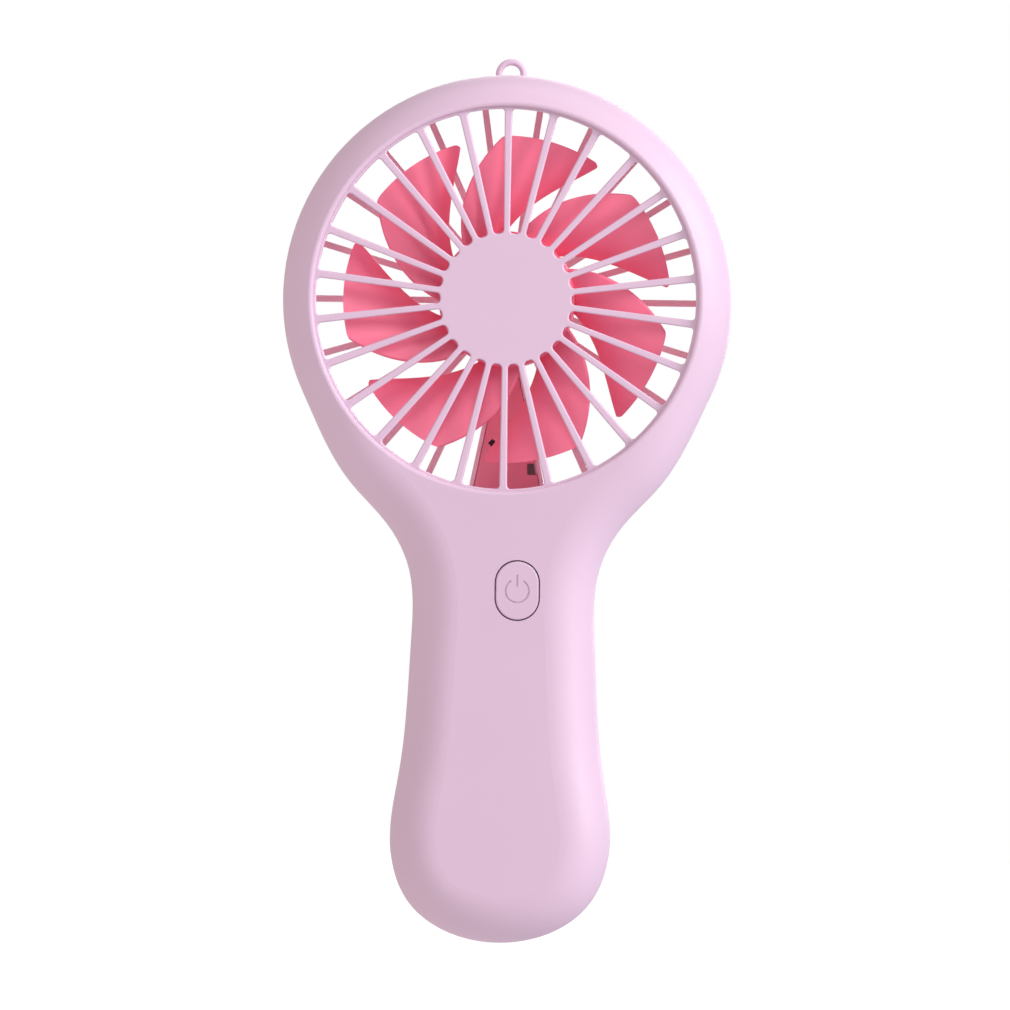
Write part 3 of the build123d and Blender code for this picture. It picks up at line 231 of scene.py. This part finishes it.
CASING = moulded("casing_plastic", (0.645, 0.465, 0.597), 0.48)
IMPELLER = moulded("impeller_plastic", (0.97, 0.20, 0.32), 0.42, grain=1800.0)
GRILLE = moulded("grille_plastic", (0.97, 0.70, 0.76), 0.45)
COVER = moulded("cover_plastic", (0.90, 0.28, 0.38), 0.42)
WHITE_PLASTIC = moulded("white_plastic", (0.80, 0.80, 0.76), 0.45)
BLACK_PLASTIC = moulded("black_plastic", (0.02, 0.02, 0.022), 0.5)
GREY_PLASTIC = moulded("grey_plastic", (0.25, 0.25, 0.26), 0.4)
SLEEVE = moulded("sleeve_film", (0.05, 0.22, 0.5), 0.25, grain=900.0)
FOAM = moulded("foam", (0.03, 0.03, 0.032), 0.95, grain=1500.0, depth=0.0002)
CERAMIC = moulded("ceramic", (0.45, 0.33, 0.2), 0.35)
FERRITE = moulded("ferrite", (0.05, 0.05, 0.055), 0.55, grain=4000.0, depth=0.00003)
SOLDER_MASK = moulded("solder_mask", (0.015, 0.16, 0.06), 0.3)
EPOXY = moulded("led_epoxy", (0.85, 0.82, 0.6), 0.2)
LENS = moulded("lens_acrylic", (0.93, 0.93, 0.95), 0.25)
RED_WIRE = moulded("red_silicone", (0.55, 0.01, 0.01), 0.5)
BLACK_WIRE = moulded("black_silicone", (0.012, 0.012, 0.013), 0.5)
STEEL = brushed("zinc_steel", (0.62, 0.62, 0.64), 0.34)
NICKEL = brushed("nickel_plate", (0.70, 0.68, 0.64), 0.28)
CORE_STEEL = brushed("laminated_steel", (0.32, 0.32, 0.34), 0.45, stretch=(1.0, 90.0, 1.0))
COPPER = brushed("copper", (0.78, 0.36, 0.2), 0.3)
ENAMEL = brushed("enamelled_copper", (0.5, 0.16, 0.05), 0.35, stretch=(1.0, 60.0, 1.0))
BRONZE = brushed("bronze", (0.6, 0.42, 0.2), 0.4)

# The nodes that each surface goes on.
DRESS = {
    CASING: ["front_shell", "rear_shell", "power_button", "hang_loop"],
    IMPELLER: ["impeller"],
    GRILLE: ["rear_grille"],
    COVER: ["wire_cover"],
    WHITE_PLASTIC: ["motor_end_bell", "thrust_washers"],
    BLACK_PLASTIC: ["control_chip", "charge_chip", "switch_body", "usb_c_tongue"],
    GREY_PLASTIC: ["switch_plunger"],
    SLEEVE: ["battery_sleeve"],
    FOAM: ["battery_pads"],
    CERAMIC: ["board_capacitors"],
    FERRITE: ["motor_magnets", "power_inductor"],
    SOLDER_MASK: ["circuit_board"],
    EPOXY: ["charge_led"],
    LENS: ["led_lens"],
    RED_WIRE: ["motor_wire_red", "battery_wire_red"],
    BLACK_WIRE: ["motor_wire_black", "battery_wire_black"],
    STEEL: ["shell_screws", "board_screws", "motor_shaft", "battery_cell"],
    NICKEL: ["motor_can", "battery_tabs", "usb_c_shell"],
    CORE_STEEL: ["armature_core"],
    COPPER: ["motor_brushes", "motor_terminals", "commutator"],
    ENAMEL: ["armature_windings"],
    BRONZE: ["front_bush", "rear_bush"],
}


def dress_nodes():
    """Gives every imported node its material."""
    for surface, names in DRESS.items():
        for name in names:
            for slot in NODES[name].material_slots:
                slot.material = surface.material


make_camera()
make_world()
make_floor()
for light in LIGHTS:
    area_light(*light)
dress_nodes()
